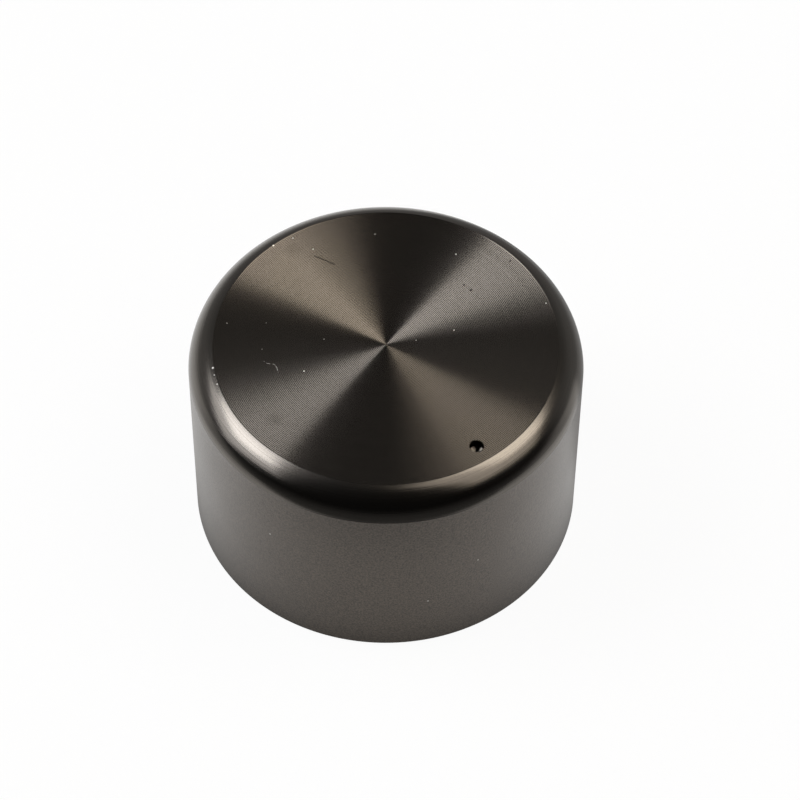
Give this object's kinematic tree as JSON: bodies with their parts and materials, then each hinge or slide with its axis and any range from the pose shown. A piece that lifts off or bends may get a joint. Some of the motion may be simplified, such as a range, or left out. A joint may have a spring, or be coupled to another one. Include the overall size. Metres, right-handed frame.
{
  "type": "control knob",
  "caption": "Turned aluminium control knob with a spun face, radiused shoulder, pointer dimple and a side grub screw for a 6 mm shaft.",
  "frame": {"origin": "centre of the rim's underside, on the shaft's axis, where the knob stands", "axes": "+Z is the shaft's axis and leaves through the face; -Y is the side of the pointer dimple; +Y is the side of the grub screw"},
  "size_m": [0.046, 0.046, 0.028],
  "materials": {
    "anodised_aluminium": "dark anodised; spun grooves on the face, satin turned shoulder, fine matt side",
    "blackened_steel": "black oxide, lightly oiled"
  },
  "bodies": {
    "root": {"knob_body": "anodised_aluminium", "grub_screw": "blackened_steel"}
  },
  "joints": []
}
